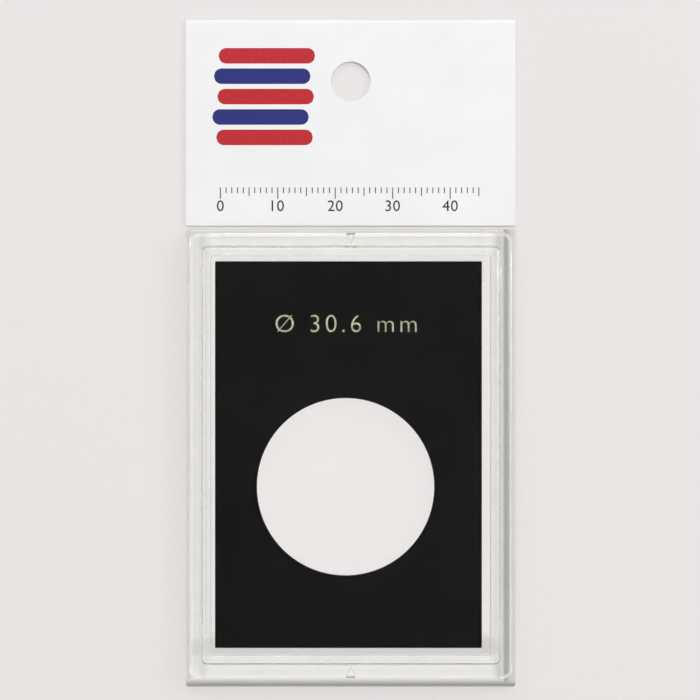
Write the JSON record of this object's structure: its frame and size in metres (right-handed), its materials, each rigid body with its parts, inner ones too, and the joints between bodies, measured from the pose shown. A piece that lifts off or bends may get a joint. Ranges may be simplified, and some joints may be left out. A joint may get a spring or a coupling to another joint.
{
  "type": "coin holder",
  "caption": "Flat clear snap-together display case that holds a coin in a black insert plate, with a folded white card above it for hanging on a peg.",
  "frame": {"origin": "on the case's rear face, under the middle of the window, with the holder lying on its back", "axes": "+X across the case, +Y from the case towards the hang card, +Z from the rear face to the front window"},
  "size_m": [0.0574, 0.1161, 0.0062],
  "materials": {
    "clear_plastic": "clear moulded acrylic, polished faces",
    "black_plastic": "black sheet, fine satin",
    "white_card": "white coated card",
    "clear_film": "clear adhesive tape"
  },
  "bodies": {
    "base": {"back_cover": "clear_plastic", "tape_on_case": "clear_film"},
    "lid": {"front_cover": "clear_plastic"},
    "insert": {"insert_plate": "black_plastic"},
    "header": {"header_card": "white_card", "tape_on_card": "clear_film"}
  },
  "joints": [
    {"name": "cover_lift", "type": "slide", "parent": "base", "child": "lid", "axis": [0, 0, 1], "range_m": [0, 0.03]},
    {"name": "insert_lift", "type": "slide", "parent": "base", "child": "insert", "axis": [0, 0, 1], "range_m": [0, 0.015]},
    {"name": "header_fold", "type": "hinge", "parent": "base", "child": "header", "pos_m": [0, 0.0396, 0.0001], "axis": [1, 0, 0], "range_deg": [0, 35]}
  ],
  "couplings": [
    {"joint": "insert_lift", "follows": "cover_lift", "ratio": 0.5}
  ]
}
